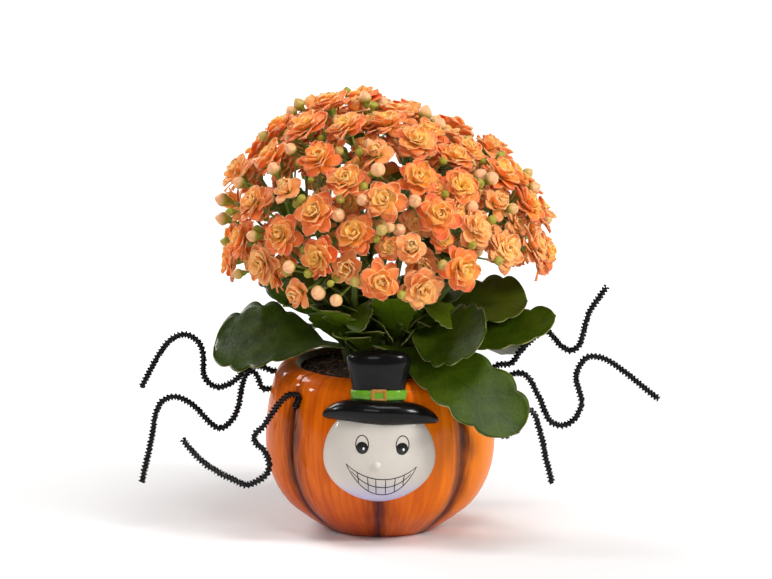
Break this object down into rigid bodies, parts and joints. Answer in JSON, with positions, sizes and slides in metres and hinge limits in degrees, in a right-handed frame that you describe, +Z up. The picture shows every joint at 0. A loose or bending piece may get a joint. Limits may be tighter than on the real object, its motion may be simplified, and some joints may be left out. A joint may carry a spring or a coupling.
{
  "type": "potted kalanchoe",
  "caption": "Orange double-flowered kalanchoe in a small glazed pumpkin pot with a raised grinning face, a black hat and black pipe-cleaner legs.",
  "frame": {"origin": "centre of the pot's flat foot, on the surface that it stands on", "axes": "+Z up, the pot's face looks towards -Y, and +X is to the right of someone who faces it"},
  "size_m": [0.2616, 0.1652, 0.2237],
  "materials": {
    "glaze": "gloss",
    "soil": "matte",
    "chenille": "matte",
    "foliage": "satin",
    "flowers": "matte"
  },
  "bodies": {
    "root": {"pot": "glaze", "soil": "soil", "leg_left_upper": "chenille", "leg_left_middle": "chenille", "leg_left_lower": "chenille", "leg_right_upper": "chenille", "leg_right_middle": "chenille", "leg_right_lower": "chenille", "leafy_stem_left": "foliage", "leafy_stem_front_left": "foliage", "leafy_stem_front_right": "foliage", "leafy_stem_right": "foliage", "leafy_stem_back_right": "foliage", "leafy_stem_back": "foliage", "leafy_stem_back_left": "foliage", "leafy_stem_top_front": "foliage", "leafy_stem_top_right": "foliage", "leafy_stem_top_left": "foliage", "flower_spray_left": "flowers", "flower_spray_front_left": "flowers", "flower_spray_front_right": "flowers", "flower_spray_right": "flowers", "flower_spray_back_right": "flowers", "flower_spray_back": "flowers", "flower_spray_back_left": "flowers", "flower_spray_top_front": "flowers", "flower_spray_top_right": "flowers", "flower_spray_top_left": "flowers"}
  },
  "joints": []
}
